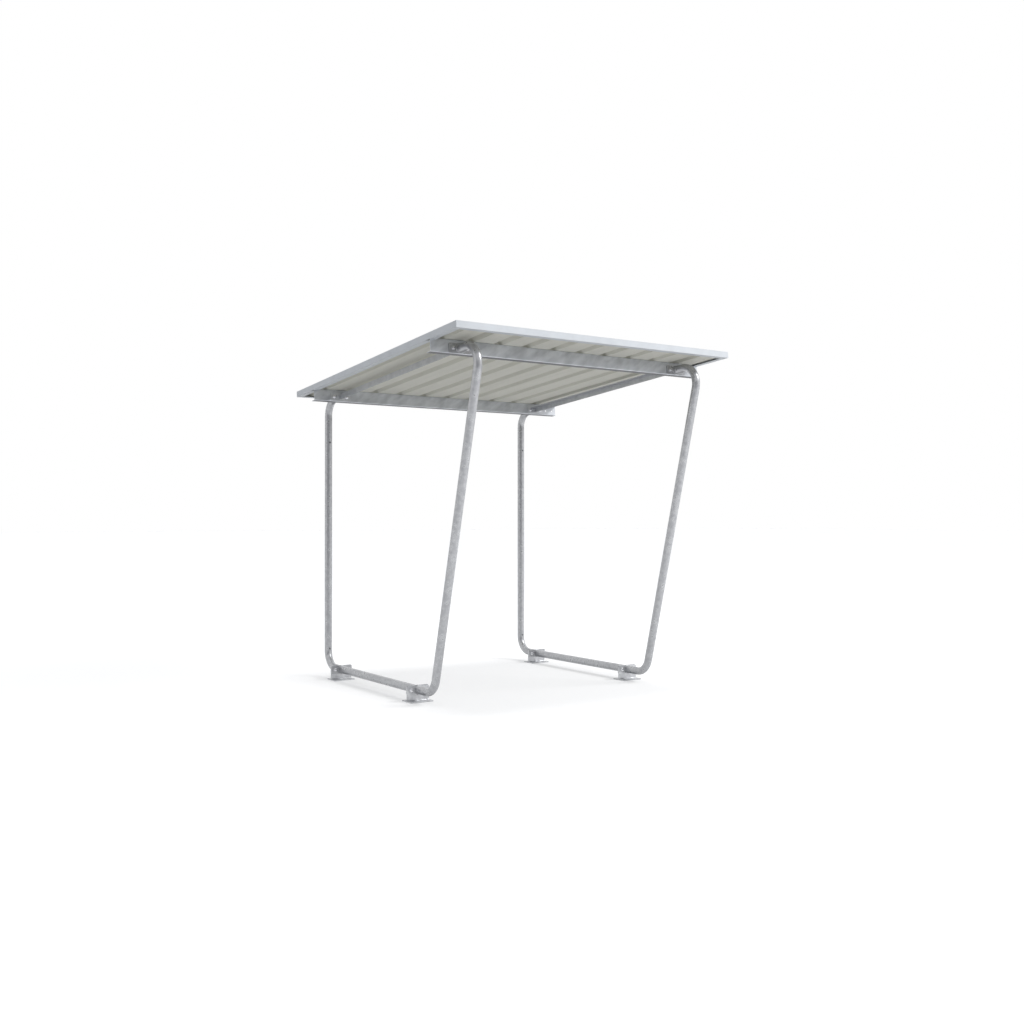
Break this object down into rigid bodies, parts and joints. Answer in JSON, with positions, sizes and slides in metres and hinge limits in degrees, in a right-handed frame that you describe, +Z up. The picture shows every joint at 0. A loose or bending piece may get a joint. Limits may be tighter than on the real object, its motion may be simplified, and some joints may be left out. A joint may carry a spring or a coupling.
{
  "type": "bike shelter",
  "caption": "Open bike shelter: bent galvanised tube side frames on plate feet carry purlins, rafters and a sloping ribbed sheet roof with folded edge trims.",
  "frame": {"origin": "on the ground, below the middle of the roof", "axes": "+X across the shelter to the right, +Y from the high front to the low rear, +Z up"},
  "size_m": [2.154, 2.3198, 2.3092],
  "materials": {
    "galvanised_tube": "hot-dip galvanised, soft grey with cloudy mottling",
    "galvanised_profile": "galvanised cold-formed profile, mottled grey",
    "roof_sheet": "coated trapezoidal steel sheet, warm grey underside",
    "edge_trim": "folded coated steel, pale grey"
  },
  "bodies": {
    "root": {"front_left_post": "galvanised_tube", "front_left_foot": "galvanised_tube", "front_right_post": "galvanised_tube", "front_right_foot": "galvanised_tube", "rear_left_post": "galvanised_tube", "rear_left_foot": "galvanised_tube", "rear_right_post": "galvanised_tube", "rear_right_foot": "galvanised_tube", "left_bottom_rail": "galvanised_tube", "left_rafter": "galvanised_profile", "left_roof_sheet": "roof_sheet", "left_trim": "edge_trim", "right_bottom_rail": "galvanised_tube", "right_rafter": "galvanised_profile", "right_roof_sheet": "roof_sheet", "right_trim": "edge_trim", "front_purlin": "galvanised_profile", "front_trim": "edge_trim", "rear_purlin": "galvanised_profile", "rear_trim": "edge_trim"}
  },
  "joints": []
}
